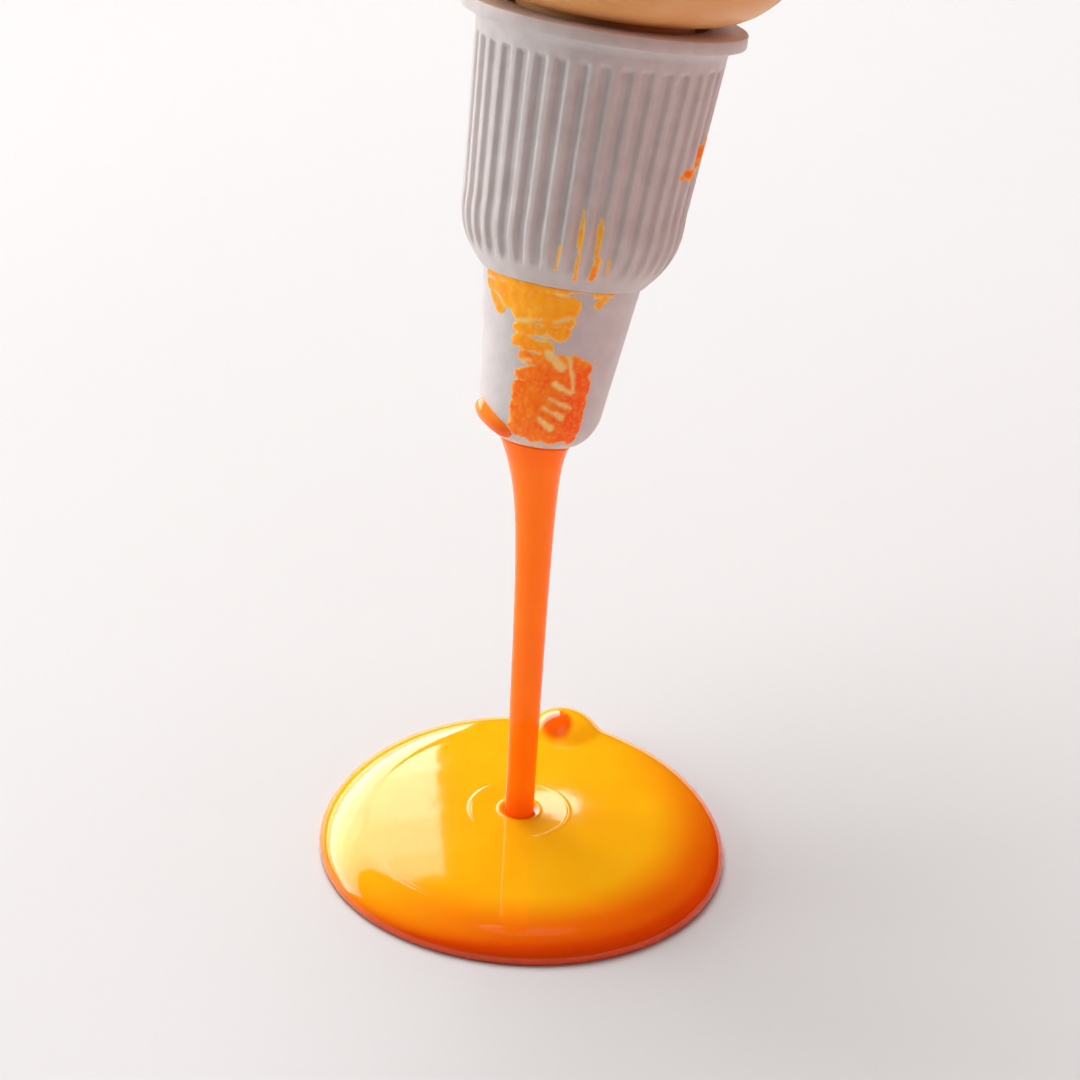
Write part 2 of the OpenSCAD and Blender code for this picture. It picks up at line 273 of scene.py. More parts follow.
def plastic(name, low, high, rough_low, rough_high, soft=0.25):
    """Moulded polyolefin: satin, slightly waxy, with the faint mottle of its surface."""
    material, tree, shader = nodes_of(name)
    mottle = grain(tree, 320, 5)
    tree.links.new(ramp(tree, mottle, low, high), shader.inputs["Base Color"])
    tree.links.new(spread(tree, grain(tree, 900, 3), rough_low, rough_high),
                   shader.inputs["Roughness"])
    shader.inputs["Subsurface Weight"].default_value = soft
    shader.inputs["Subsurface Radius"].default_value = (1.0, 0.75, 0.6)
    shader.inputs["Subsurface Scale"].default_value = 0.0016
    shader.inputs["IOR"].default_value = 1.5
    bump(tree, shader, grain(tree, 2600, 3), 0.00005, 0.35)
    return material, tree, shader


def paint(name, low, high, edge=None, attribute=None, rough=(0.03, 0.075), thin=None,
          gloss=0.42, coat=0.2, painted_glow=0.0):
    """Thick glossy acrylic paint, with a redder tone where the mesh's attribute asks for it.

    The painted glow is painted light: an emission, though the paint is no lamp, that stands in for the
    light that soaks through a thin body of this vivid pigment.
    """
    material, tree, shader = nodes_of(name)
    base = ramp(tree, grain(tree, 90, 3), low, high, 0.3, 0.7)
    if attribute:
        deep = ramp(tree, grain(tree, 160, 3), edge, tuple(0.92 * c for c in edge), 0.3, 0.7)
        base = mix_by_attribute(tree, attribute, base, deep)
    if thin:
        wiped = ramp(tree, grain(tree, 500, 4), thin, tuple(0.85 * c for c in thin))
        base = mix_by_attribute(tree, "thin", base, wiped)
    tree.links.new(base, shader.inputs["Base Color"])
    # painted light: the paint glows by emission, standing in for light that soaks through it
    tree.links.new(base, shader.inputs["Emission Color"])
    shader.inputs["Emission Strength"].default_value = painted_glow
    tree.links.new(spread(tree, grain(tree, 240, 3), *rough), shader.inputs["Roughness"])
    shader.inputs["Subsurface Weight"].default_value = 0.3
    shader.inputs["Subsurface Radius"].default_value = (1.0, 0.35, 0.08)
    shader.inputs["Subsurface Scale"].default_value = 0.0012
    shader.inputs["IOR"].default_value = 1.52
    shader.inputs["Specular IOR Level"].default_value = gloss
    shader.inputs["Coat Weight"].default_value = coat
    shader.inputs["Coat Roughness"].default_value = 0.03
    bump(tree, shader, grain(tree, 130, 2), 0.00012, 0.25)
    return material


# These white plastics' base colours are darker and pinker than the plastic really is: painted shade, and
# a pink tint that is painted orange light bounced off the paint.
white_plastic, _, _ = plastic("closure_plastic_white", (0.66, 0.605, 0.60), (0.73, 0.675, 0.67),
                              0.36, 0.5)
spout_plastic, _, _ = plastic("spout_plastic_white", (0.70, 0.645, 0.645), (0.77, 0.715, 0.715),
                              0.30, 0.42)
# the puddle's redder third colour is painted shade on its rim, edge and hollow, and a painted reflection
# in a spot on the fold
puddle_paint = paint("paint_puddle_orange", (0.97, 0.43, 0.004), (0.99, 0.48, 0.007),
                     (0.82, 0.075, 0.002), "deep")
# the stream, smear and drip paints carry a painted glow: painted light, not a lamp
stream_paint = paint("paint_stream_orange", (0.95, 0.17, 0.003), (0.98, 0.20, 0.004),
                     (0.90, 0.10, 0.002), "deep", gloss=0.15, coat=0.05, painted_glow=0.39)
smear_paint = paint("paint_smear_orange", (0.92, 0.33, 0.008), (0.96, 0.39, 0.012),
                    (0.93, 0.095, 0.002), "deep", (0.3, 0.45), (0.86, 0.58, 0.20),
                    gloss=0.15, coat=0.05, painted_glow=0.30)
drip_paint = paint("paint_drip_orange", (0.97, 0.23, 0.02), (0.98, 0.28, 0.03),
                   (0.9, 0.13, 0.01), "deep", painted_glow=0.25)
inner_paint = paint("paint_inside_orange", (0.9, 0.2, 0.006), (0.95, 0.24, 0.008))


# ---------------------------------------------------------------- collar

def turned(profile, columns, radius=None):
    """A closure grid of points from a profile of (radius, height), with the radius set by a function."""
    theta = np.arange(columns) * 360.0 / columns
    r = np.array([p[0] for p in profile])[:, None]
    h = np.array([p[1] for p in profile])[:, None]
    r = radius(r, h, theta[None, :]) if radius else np.broadcast_to(r, (len(profile), columns))
    return around(r, np.broadcast_to(theta[None, :], r.shape), np.broadcast_to(h, r.shape))


def ribbed(r, h, theta):
    """Swaps in the ribbed outer radius on rows that carry the marker radius."""
    return np.where(r < 0, collar_radius(theta, h), r)


OUTSIDE = -1.0
rib_rows = [(OUTSIDE, h) for h in np.concatenate([
    MOUTH_H + (RIB_START_H - MOUTH_H) * np.linspace(0, 1, 7) ** 1.6,
    np.linspace(RIB_START_H, SHOULDER_H, 26)[1:],
    np.linspace(SHOULDER_H, BAND_H - 1.4, 8)[1:],
    np.linspace(BAND_H - 1.4, BAND_H, 7)[1:]])]
band_rows = arc(CREST_HIGH_R + 2.0, BAND_H + 0.8, -1.95, 1.9, 0, 90, 8)
rim_rows = ([(FLANGE_R - 0.22, BAND_H + 2.72), (FLANGE_R - 0.06, BAND_H + 2.84)]
            + [(FLANGE_R, BAND_H + 3.0), (FLANGE_R, COLLAR_END_H - 0.25)]
            + [(FLANGE_R - 0.08, COLLAR_END_H - 0.08), (FLANGE_R - 0.3, COLLAR_END_H)])
bore_rows = [(BORE_R + 0.5, COLLAR_END_H), (BORE_R, COLLAR_END_H - 0.5),
             (BORE_R, DECK_H + 0.3), (BORE_R - 0.3, DECK_H)]
chimney_rows = [(CHIMNEY_BORE_R, DECK_H), (CHIMNEY_BORE_R, CHIMNEY_END_H),
                (CHIMNEY_R - 0.3, CHIMNEY_END_H), (CHIMNEY_R, CHIMNEY_END_H + 0.3),
                (CHIMNEY_R, 20.0), (CHIMNEY_R + 0.6, 20.3), (CHIMNEY_R + 0.6, 21.0),
                (CHIMNEY_R, 21.2), (CHIMNEY_R, WELL_FLOOR_H)]
well_rows = [(WELL_R, WELL_FLOOR_H), (WELL_R, MOUTH_H + 0.2), (MOUTH_R - 0.1, MOUTH_H)]
collar_profile = rib_rows + band_rows[1:] + rim_rows + bore_rows + chimney_rows + well_rows
collar_skin = lathe("collar_skin", closure_to_world(turned(collar_profile, 720, ribbed)),
                    white_plastic, "closure", "closure_plastic", loop=True)
sharp_by_angle(collar_skin, 38)
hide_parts("collar")


def thread_ridge(name, inner_r, outer_r, inner_half, outer_half, start_h, crest_inside, **where):
    """One turn of helical ridge that fades at both ends."""
    steps = 120
    turn = np.linspace(0, 360, steps + 1)
    fade = np.clip(np.minimum(turn, 360 - turn) / 36, 0, 1)
    lost = (1 - fade) * (outer_r - inner_r - 0.24)
    r_in = inner_r + (lost if crest_inside else 0)
    r_out = outer_r - (0 if crest_inside else lost)
    h = start_h + PITCH * turn / 360
    corners = [(r_in, -inner_half), (r_out, -outer_half), (r_out, outer_half), (r_in, inner_half)]
    grid = np.stack([around(np.broadcast_to(r, turn.shape), turn, h + dh)
                     for r, dh in corners], axis=1)
    ridge = lathe(name, closure_to_world(grid), **where, inward=True)
    sharp_by_angle(ridge, 30)
    return ridge


thread_ridge("collar_thread", 13.0, BORE_R + 0.3, 0.5, 0.95, THREAD_H, True,
             material=white_plastic, body="closure", slot="closure_plastic")

plug_profile = [(0.01, 3.9), (1.9, 3.9), (2.13, 3.95), (2.85, 4.6), (2.93, 4.8), (2.93, 9.8),
                (2.7, 10.0), (0.01, 10.0)]
plug = lathe("closure_plug", closure_to_world(turned(plug_profile, 96)), white_plastic,
             "closure", "closure_plastic")
sharp_by_angle(plug, 38)
for arm in range(3):
    wide, low, high = 0.6, CHIMNEY_END_H + 0.4, 9.9
    section = np.array([(-wide, low), (wide, low), (wide, high), (-wide, high)])
    reach = np.array([2.6, 3.4, 4.5])
    turn = math.radians(120 * arm)
    grid = np.array([[(x * math.cos(turn) - y * math.sin(turn),
                       x * math.sin(turn) + y * math.cos(turn), z)
                      for y, z in section] for x in reach])
    web = lathe(f"closure_plug_arm_{arm + 1}", closure_to_world(grid), white_plastic,
                "closure", "closure_plastic")
    sharp_by_angle(web, 30)


# ---------------------------------------------------------------- spout

outer_h = np.concatenate([5.1 * np.linspace(0, 1, 22) ** 2.2, np.linspace(5.1, MOUTH_H, 26)[1:]])
spout_profile = ([(float(spout_radius(h)), h) for h in outer_h]
                 + [(11.15, 31.2), (11.3, 31.6), (11.3, 33.6), (10.9, 34.0), (9.6, 34.0),
                    (9.6, 23.0), (6.08, 22.8), (6.08, 21.6), (6.68, 21.4), (6.68, 2.4)]
                 + [(3.15, 2.4), (3.0, 2.25), (3.0, 0.25)] + arc(3.25, 0.25, 0.25, 0.25, 180, 270, 4))
spout_skin = lathe("spout_skin", closure_to_world(turned(spout_profile, 240)), spout_plastic,
                   "spout", "closure_plastic", loop=True)
sharp_by_angle(spout_skin, 40)
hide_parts("spout")


# ---------------------------------------------------------------- smears of paint

class Patch:
    """Brush-like strokes of paint over a surface of revolution, laid out by angle and height."""

    def __init__(self, mid_radius, strokes, gaps=(), ragged=0.55, seed=0.0):
        self.mid_radius, self.strokes, self.gaps = mid_radius, strokes, gaps
        self.ragged, self.seed = ragged, seed

    def along(self, theta, h, stroke):
        """Distance inside a tapered stroke, in millimetres; negative is outside it."""
        theta0, h0, half0, theta1, h1, half1 = stroke
        scale = math.radians(1) * self.mid_radius
        x, y = (theta - theta0) * scale, h - h0
        dx, dy = (theta1 - theta0) * scale, h1 - h0
        t = np.clip((x * dx + y * dy) / max(dx * dx + dy * dy, 1e-9), 0, 1)
        return half0 + (half1 - half0) * t - np.hypot(x - t * dx, y - t * dy)

    def fields(self, theta, h):
        """How far inside the strokes a place is, and how far inside the wiped, thinner gaps."""
        x, y = theta * math.radians(1) * self.mid_radius, h
        shake = (noise_at(x, y, self.seed, 0.55) * self.ragged
                 + noise_at(x, y, self.seed + 7, 1.6) * self.ragged * 0.6
                 + noise_at(x * 2.2, y * 0.8, self.seed + 3, 2.6) * self.ragged * 0.3)
        field = np.full(np.broadcast(theta, h).shape, -9.0)
        wiped = field.copy()
        for stroke in self.strokes:
            field = np.maximum(field, self.along(theta, h, stroke) + shake)
        for gap in self.gaps:
            wiped = np.maximum(wiped, self.along(theta, h, gap) + shake * 0.6)
        return field, wiped


FILM_DIP, FILM_UNDER = 0.06, 0.16  # how far a film's top and its underside go into the plastic
FILM_STEP_UP = 0.012  # least height of the paint over the plastic
FILM_SKIRT = 0.35  # how far past its edge a film's mesh goes on, sunk


def film(name, body, surface, patch, theta_range, h_range, step, thick, deep, material):
    """A closed film of paint: its top stands proud inside the patch, and sinks into the plastic."""
    columns = int((theta_range[1] - theta_range[0]) * math.radians(1) * patch.mid_radius / step)
    rows = int((h_range[1] - h_range[0]) / step)
    theta, h = np.meshgrid(np.linspace(*theta_range, columns + 1),
                           np.linspace(*h_range, rows + 1))
    inside, wiped = patch.fields(theta, h)
    thin_gap = smooth(-0.35, 0.3, wiped)
    uneven = 1 + 0.45 * noise_at(theta * 0.16, h * 0.5, patch.seed + 11, 1.3)
    lift = np.where(inside > 0, thick * uneven * np.sqrt(np.clip(inside / 0.5, 0, 1))
                    * (1 - 0.75 * thin_gap), -FILM_DIP)
    lift = np.maximum(lift, -FILM_DIP) + np.where(inside > 0, FILM_STEP_UP, 0)
    radius = surface(theta, h)
    top = closure_to_world(around(radius + lift, theta, h)).reshape(-1, 3)
    under = closure_to_world(around(radius - FILM_UNDER, theta, h)).reshape(-1, 3)
    keep = inside > -FILM_SKIRT
    wide = columns + 1
    quads = [(i * wide + j, i * wide + j + 1, (i + 1) * wide + j + 1, (i + 1) * wide + j)
             for i in range(rows) for j in range(columns)
             if keep[i:i + 2, j:j + 2].any()]
    used = sorted({v for quad in quads for v in quad})
    index = {v: n for n, v in enumerate(used)}
    count = len(used)
    faces, edges = [], set()
    for quad in quads:
        loop = [index[v] for v in quad]
        faces.append(tuple(loop))
        faces.append(tuple(v + count for v in reversed(loop)))
        edges.update(zip(loop, loop[1:] + loop[:1]))
    faces += [(b, a, a + count, b + count) for a, b in edges if (b, a) not in edges]
    piece = mesh_piece(name, np.vstack([top[used], under[used]]), faces, material, body)
    shade = np.clip(deep(theta, h) + 0.3 * noise_at(theta * 0.2, h, patch.seed + 5, 0.9), 0, 1)
    mottle = 0.35 * np.clip(noise_at(theta * 0.17, h, patch.seed + 9, 2.2), 0, 1)
    thin = np.clip(0.85 * thin_gap + 0.75 * (1 - smooth(0.0, 0.4, inside)) + mottle, 0, 1)
    for layer, values in (("deep", shade), ("thin", thin)):
        kept = values.reshape(-1)[used]
        set_attribute(piece, layer, np.concatenate([kept, kept]))
    return piece


# strokes are angle, height and half width at one end, then at the other
spout_patch = Patch(9.9, [
    (131, 23.7, 0.5, 200, 23.9, 0.7), (134, 22.4, 0.8, 158, 21.8, 1.5),
    (141, 20.9, 0.9, 150, 19.3, 0.7), (160, 21.8, 2.2, 205, 21.4, 1.7),
    (168, 19.6, 1.6, 205, 19.6, 1.3), (167, 17.6, 0.9, 204, 17.8, 1.1),
    (170, 15.7, 1.1, 194, 15.2, 1.2), (176, 13.6, 0.9, 206, 13.2, 1.6),
    (176, 11.0, 1.2, 208, 11.9, 2.3), (218, 13.6, 1.2, 228, 12.6, 1.4),
    (177, 9.0, 1.6, 176, 3.4, 1.6), (192, 9.6, 2.2, 192, 3.3, 2.0),
    (210, 9.4, 2.4, 212, 3.2, 2.0), (226, 11.0, 1.9, 229, 4.2, 2.0),
    (174, 2.8, 1.0, 236, 2.4, 0.9), (224, 23.8, 0.5, 237, 24.0, 0.35),
    (227, 22.3, 0.45, 231, 23.4, 0.7), (200, 24.0, 0.25, 236, 24.2, 0.25),
    (239.6, 14.0, 0.32, 239.8, 13.9, 0.3)],
    gaps=[(163, 18.4, 0.22, 185, 19.2, 0.26), (197, 19.3, 0.3, 208, 20.1, 0.2),
          (170, 12.7, 0.25, 181, 13.3, 0.2), (185, 16.4, 0.35, 192, 16.9, 0.5),
          (196, 14.6, 0.6, 208, 12.9, 0.6), (205, 10.4, 0.3, 219, 9.4, 0.35),
          (203, 8.1, 0.3, 222, 7.2, 0.25), (199, 6.7, 0.25, 217, 5.6, 0.25),
          (197, 5.0, 0.28, 208, 3.9, 0.5), (212, 14.9, 0.2, 222, 9.6, 0.2)],
    ragged=0.42, seed=2.0)


def lower_is_deeper(theta, h):
    """Deeper orange down the spout, and on its right-hand strip."""
    return np.clip(1.15 - smooth(11.5, 16.5, h), 0, 1) * (0.75 + 0.25 * smooth(205, 225, theta))


smear_skin = film("spout_smear_film", "spout", lambda theta, h: spout_radius(h), spout_patch,
                  (124, 246), (1.2, 24.1), 0.16, 0.17, lower_is_deeper, smear_paint)
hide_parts("spout_smear")

front_patch = Patch(15.5, [
    (191.5, 27.2, 0.22, 192.5, 30.6, 0.3), (203.5, 26.1, 0.38, 202.6, 31.5, 0.3),
    (202.3, 31.0, 0.42, 201.6, 36.1, 0.3), (213.2, 26.5, 0.62, 213.4, 29.6, 0.45),
    (212.3, 29.5, 0.36, 211.5, 35.3, 0.3), (222.0, 27.2, 0.2, 221.0, 29.4, 0.26)],
    ragged=0.22, seed=5.0)
film("collar_streak_film", "closure", collar_radius, front_patch, (187, 226), (25.0, 37.2),
     0.13, 0.12, lambda theta, h: 0.15 + 0.45 * smooth(31, 26, h) + 0 * theta, smear_paint)

side_patch = Patch(16.6, [
    (278.5, 48.4, 0.2, 275.0, 45.4, 0.8), (274.0, 45.0, 1.0, 269.0, 42.4, 1.3),
    (268.5, 42.2, 1.1, 256.0, 41.6, 0.45), (268.0, 41.4, 0.9, 270.5, 39.6, 0.35)],
    ragged=0.35, seed=9.0)
film("collar_side_film", "closure", collar_radius, side_patch, (248, 284), (37.6, 49.6),
     0.14, 0.14, lambda theta, h: 0.6 + 0 * theta * h, smear_paint)


# ---------------------------------------------------------------- bead on the lip

def bead(name, stations, material, body, columns=48, rows=72):
    """A soft sausage of paint through stations of (x, y, height, radius) on the closure."""
    nodes = np.array(stations, float)
    place = np.linspace(0, len(nodes) - 1, rows)
    centre = np.stack([np.interp(place, range(len(nodes)), nodes[:, i]) for i in range(4)], 1)
    kernel = np.hanning(15) / np.hanning(15).sum()
    padded = np.vstack([centre[:1].repeat(7, 0), centre, centre[-1:].repeat(7, 0)])
    centre = np.stack([np.convolve(padded[:, i], kernel, "valid") for i in range(4)], 1)
    ends = np.sqrt(np.clip(1 - (2 * np.linspace(0, 1, rows) - 1) ** 8, 0, 1))
    tangent = np.gradient(centre[:, :3], axis=0)
    tangent /= np.linalg.norm(tangent, axis=1, keepdims=True)
    side = np.cross(tangent, np.array([0.0, 0.0, 1.0]))
    side /= np.linalg.norm(side, axis=1, keepdims=True)
    other = np.cross(tangent, side)
    turn = np.radians(np.arange(columns) * 360.0 / columns)
    radius = (centre[:, 3] * ends)[:, None, None]
    grid = (centre[:, None, :3] + radius * (np.cos(turn)[None, :, None] * side[:, None]
            + np.sin(turn)[None, :, None] * other[:, None]))
    return lathe(name, closure_to_world(grid), material, body, "paint"), grid


def drip_station(theta, h, out, radius):
    """A station of the bead, at an angle, a height and a distance off the spout's surface."""
    turn, reach = math.radians(theta), float(spout_radius(h)) + out
    return (reach * math.cos(turn), reach * math.sin(turn), h, radius)


drip_skin, drip_grid = bead("lip_drip_bead", [
    drip_station(117, 4.7, -0.5, 0.8), drip_station(125, 4.4, -0.15, 1.25),
    drip_station(135, 3.9, -0.05, 1.35), drip_station(146, 3.2, -0.05, 1.3),
    drip_station(157, 2.4, -0.1, 1.2), drip_station(167, 1.5, -0.35, 0.9)],
    drip_paint, "spout")
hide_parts("lip_drip")
drip_low = smooth(4.4, 1.6, drip_grid[..., 2]).reshape(-1)
set_attribute(drip_skin, "deep", np.concatenate([drip_low, [0, 1]]))


# ---------------------------------------------------------------- stream

STREAM_TOP, STREAM_FOOT = 67.34, 4.3
STREAM_ROWS, STREAM_COLUMNS = 90, 72


def stream_radius(s):
    """Radius of the stream at a drop below the lip: it thins as it speeds up."""
    return 2.08 + 1.45 * np.exp(-s / 18) + 1.42 * np.exp(-s / 4.5)


drop = (STREAM_TOP - STREAM_FOOT) * np.linspace(0, 1, STREAM_ROWS) ** 1.7
phase = np.radians(np.arange(STREAM_COLUMNS) * 360.0 / STREAM_COLUMNS)
radius = stream_radius(drop)[:, None] * (1 + 0.012 * np.sin(2 * phase + drop[:, None] * 0.11))
tip = (LEAN * np.exp(-drop / 6))[:, None]
local_x = radius * np.cos(phase) * np.cos(tip)
local_y = radius * np.sin(phase)
local_z = -radius * np.cos(phase) * np.sin(tip)
slide = (LIP[0] * np.exp(-(drop / 8) ** 1.3))[:, None]
stream_grid = np.stack([slide + local_x * math.cos(HEADING) - local_y * math.sin(HEADING),
                        local_x * math.sin(HEADING) + local_y * math.cos(HEADING),
                        STREAM_TOP - drop[:, None] + local_z], axis=-1)
stream_skin = lathe("stream_skin", stream_grid, stream_paint, "closure", "paint", inward=True)
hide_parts("paint_stream")
stream_deep = np.clip(0.25 + 0.75 * smooth(11, 5, stream_grid[..., 2])
                      + 0.3 * smooth(64, 67, stream_grid[..., 2]), 0, 1).reshape(-1)
set_attribute(stream_skin, "deep", np.concatenate([stream_deep, [1, 1]]))


# ---------------------------------------------------------------- puddle

# rings that the falling stream keeps up: radius, rise and width
OUTER_RING_R, OUTER_RING_RISE, OUTER_RING_WIDTH = 7.25, 0.026, 0.22
INNER_RING_R, INNER_RING_RISE, INNER_RING_WIDTH = 2.95, 0.05, 0.25
HOLLOW_R, HOLLOW_DEPTH = 2.5, 0.3
CREASE = 0.9  # how far the crease beside the fold is filled


def puddle_outline(psi):
    """Radius of the puddle by heading round its middle: nearly round, fuller at the fold."""
    towards_fold = math.atan2(FOLD_Y - PUDDLE_Y, FOLD_X - PUDDLE_X)
    away = (psi - towards_fold + math.pi) % (2 * math.pi) - math.pi
    return (PUDDLE_R - 0.54 * np.cos(2 * psi) - 0.1 * np.sin(2 * psi) - 0.42 * np.sin(3 * psi)
            + 1.0 * np.exp(-(away / 0.17) ** 2))


def fold_height(x, y):
    """Top of the fold of thicker paint at the back edge."""
    share = np.clip(1 - ((x - FOLD_X) ** 2 + (y - FOLD_Y) ** 2) / FOLD_R ** 2, 0, 1)
    return FOLD_WAIST + (FOLD_TOP - FOLD_WAIST) * np.sqrt(share)


def merged(a, b, blend):
    """The higher of two heights, with the crease between them filled a little."""
    gap = np.clip(blend - np.abs(a - b), 0, None)
    return np.maximum(a, b) + gap ** 2 / (4 * blend)


def puddle_height(x, y):
    """Top of the puddle: a low dome, with the rings that the falling stream keeps up."""
    from_middle = np.hypot(x - PUDDLE_X, y - PUDDLE_Y)
    dome = EDGE_TOP + (PUDDLE_TOP - EDGE_TOP) * (1 - (from_middle / (PUDDLE_R - EDGE_RUN)) ** 2)
    from_stream = np.hypot(x, y)
    heading = np.arctan2(y, x)
    broken = np.clip(0.45 + 0.55 * np.cos(2 * heading + 0.9), 0.08, 1)
    ring = OUTER_RING_RISE * broken * np.exp(
        -((from_stream - OUTER_RING_R) / OUTER_RING_WIDTH) ** 2)
    near_ring = INNER_RING_RISE * np.exp(
        -((from_stream - INNER_RING_R) / INNER_RING_WIDTH) ** 2)
    hollow = -HOLLOW_DEPTH * np.exp(-(from_stream / HOLLOW_R) ** 6)
    swell = 0.012 * np.sin(x * 0.21 + 0.6) * np.sin(y * 0.17 + 1.1)
    return merged(dome + ring + near_ring + hollow + swell, fold_height(x, y), CREASE)


PUDDLE_COLUMNS, FLAT_ROWS, EDGE_ROWS, FOOT_ROWS = 480, 150, 31, 6
EDGE_UNDERCUT = 0.35

psi = np.arange(PUDDLE_COLUMNS) * 2 * math.pi / PUDDLE_COLUMNS
outline = puddle_outline(psi)
inner = outline - EDGE_RUN
inner_x, inner_y = PUDDLE_X + inner * np.cos(psi), PUDDLE_Y + inner * np.sin(psi)
share = np.linspace(0, 1, FLAT_ROWS + 1)[1:, None]
flat_x, flat_y = share * inner_x, share * inner_y
flat = np.stack([flat_x, flat_y, puddle_height(flat_x, flat_y)], axis=-1)
edge_turn = np.radians(np.linspace(90, 0, EDGE_ROWS + 1)[1:])[:, None]
reach = inner + EDGE_RUN * np.cos(edge_turn)
rim_x, rim_y = PUDDLE_X + reach * np.cos(psi), PUDDLE_Y + reach * np.sin(psi)
rim_top = np.minimum(flat[-1, :, 2], EDGE_TOP + 0.15)
rim_z = BULGE_H + (rim_top - BULGE_H) * np.sin(edge_turn)
rim_z = np.where(edge_turn > 0, merged(rim_z, fold_height(rim_x, rim_y), CREASE), rim_z)
rim = np.stack([rim_x, rim_y, rim_z], axis=-1)
foot_share = np.linspace(0, 1, FOOT_ROWS + 1)[1:, None]
foot_reach = outline - EDGE_UNDERCUT * (1 - np.sqrt(1 - foot_share ** 2))
foot = np.stack([PUDDLE_X + foot_reach * np.cos(psi), PUDDLE_Y + foot_reach * np.sin(psi),
                 np.broadcast_to(BULGE_H * (1 - foot_share), foot_reach.shape)], axis=-1)
puddle_grid = np.concatenate([flat, rim, foot])
puddle_skin = lathe("puddle_skin", puddle_grid, puddle_paint, "closure", "paint", inward=True)
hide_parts("paint_puddle")
# The puddle's deep attribute is painted shade on its front-right rim, down its steep edge and in the
# hollow round the stream, and a painted reflection in a spot on the fold.
from_middle = np.hypot(puddle_grid[..., 0] - PUDDLE_X, puddle_grid[..., 1] - PUDDLE_Y)
near_rim = smooth(PUDDLE_R - 12.0, PUDDLE_R - 2.5, from_middle)
front_right = 0.5 + 0.5 * np.cos(np.arctan2(puddle_grid[..., 1] - PUDDLE_Y,
                                            puddle_grid[..., 0] - PUDDLE_X) + math.radians(45))
low = smooth(3.6, 0.6, puddle_grid[..., 2])
near_stream = smooth(3.1, 2.2, np.hypot(puddle_grid[..., 0], puddle_grid[..., 1]))
fold_painted_reflection = smooth(1.25, 0.75, np.hypot((puddle_grid[..., 0] - REFLECTION_SPOT_X) / 2.2,
                                        (puddle_grid[..., 1] - REFLECTION_SPOT_Y) / 2.6))
puddle_painted_shade_and_reflection = np.clip(0.85 * near_rim * smooth(0.25, 0.95, front_right) + 0.7 * low + 0.8 * near_stream
                      + 0.9 * fold_painted_reflection, 0, 1)
set_attribute(puddle_skin, "deep", np.concatenate([puddle_painted_shade_and_reflection.reshape(-1), [0.8, 1]]))

# ---------------------------------------------------------------- bottle

bottle_outside = fine(
    [(NECK_R - 0.15, NECK_LIP_H), (NECK_R, NECK_LIP_H + 0.2), (NECK_R, NECK_FOOT_H - 0.2)]
    + arc(13.4, BODY_START_H, BODY_R - 13.4, NECK_FOOT_H - BODY_START_H, 90, 0, 24)
    + [(BODY_R, BASE_H - 4.0)] + arc(BODY_R - 4, BASE_H - 4, 4, 4, 0, 90, 12)[1:]
    + [(17.6, BASE_H), (16.6, BASE_H - 0.25), (0.4, BASE_H - 4.0)], 3.0)
bottle_inside = fine(
    [(0.4, BASE_H - 5.1), (17.6, BASE_H - WALL - 0.1), (BODY_R - 4, BASE_H - WALL)]
    + arc(BODY_R - 4, BASE_H - 4, 4 - WALL, 4 - WALL, 90, 0, 6)[1:]
    + arc(13.4 - WALL, BODY_START_H, BODY_R - 13.4, NECK_FOOT_H + WALL - BODY_START_H, 0, 90, 18)
    + [(NECK_BORE_R, NECK_FOOT_H), (NECK_BORE_R, NECK_LIP_H + 0.2),
       (NECK_BORE_R + 0.2, NECK_LIP_H)], 6.0)


def bottle_radius(r, h, theta):
    """The blown body is never quite round, and carries the line where its mould parts."""
    body = smooth(BODY_START_H - 6, BODY_START_H + 6, h) * (1 - smooth(BASE_H - 6, BASE_H - 2, h))
    turn = np.radians(theta)
    uneven = 0.05 * np.sin(2 * turn + h * 0.02) + 0.03 * np.sin(3 * turn - h * 0.035)
    parting = 0.09 * np.exp(-((np.abs((theta % 180) - 90)) / 0.5) ** 2)
    is_outside = r > BODY_R - 0.5
    return r + np.where(is_outside, body * (uneven - 0.08 + parting), 0)


bottle_plastic, bottle_tree, bottle_shader = plastic(
    "bottle_plastic_milky", (0.80, 0.78, 0.75), (0.86, 0.84, 0.81), 0.34, 0.46, 0.35)
for link in list(bottle_shader.inputs["Base Color"].links):
    milky = link.from_socket
    tinted = ramp(bottle_tree, grain(bottle_tree, 120, 3), (0.88, 0.40, 0.13),
                  (0.90, 0.46, 0.17))
    bottle_tree.links.new(mix_by_attribute(bottle_tree, "wet", milky, tinted, (-1.0, 1.0)),
                          bottle_shader.inputs["Base Color"])
bottle_grid = closure_to_world(turned(bottle_outside + bottle_inside, 288, bottle_radius))
bottle_skin = lathe("bottle_skin", bottle_grid, bottle_plastic, "bottle", "bottle_plastic",
                    loop=True)
sharp_by_angle(bottle_skin, 40)
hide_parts("bottle_neck", "bottle_body", "bottle_foot")
level = bottle_grid[..., 2] + 1.2 * np.sin(bottle_grid[..., 0] * 0.22) * np.sin(
    bottle_grid[..., 1] * 0.18 + 1)
set_attribute(bottle_skin, "wet", PAINT_LEVEL - level)
thread_ridge("bottle_thread", NECK_R - 0.3, 13.7, 0.95, 0.5, THREAD_H - PITCH / 2, False,
             material=white_plastic, body="bottle", slot="bottle_plastic")


# ---------------------------------------------------------------- kept frame nodes

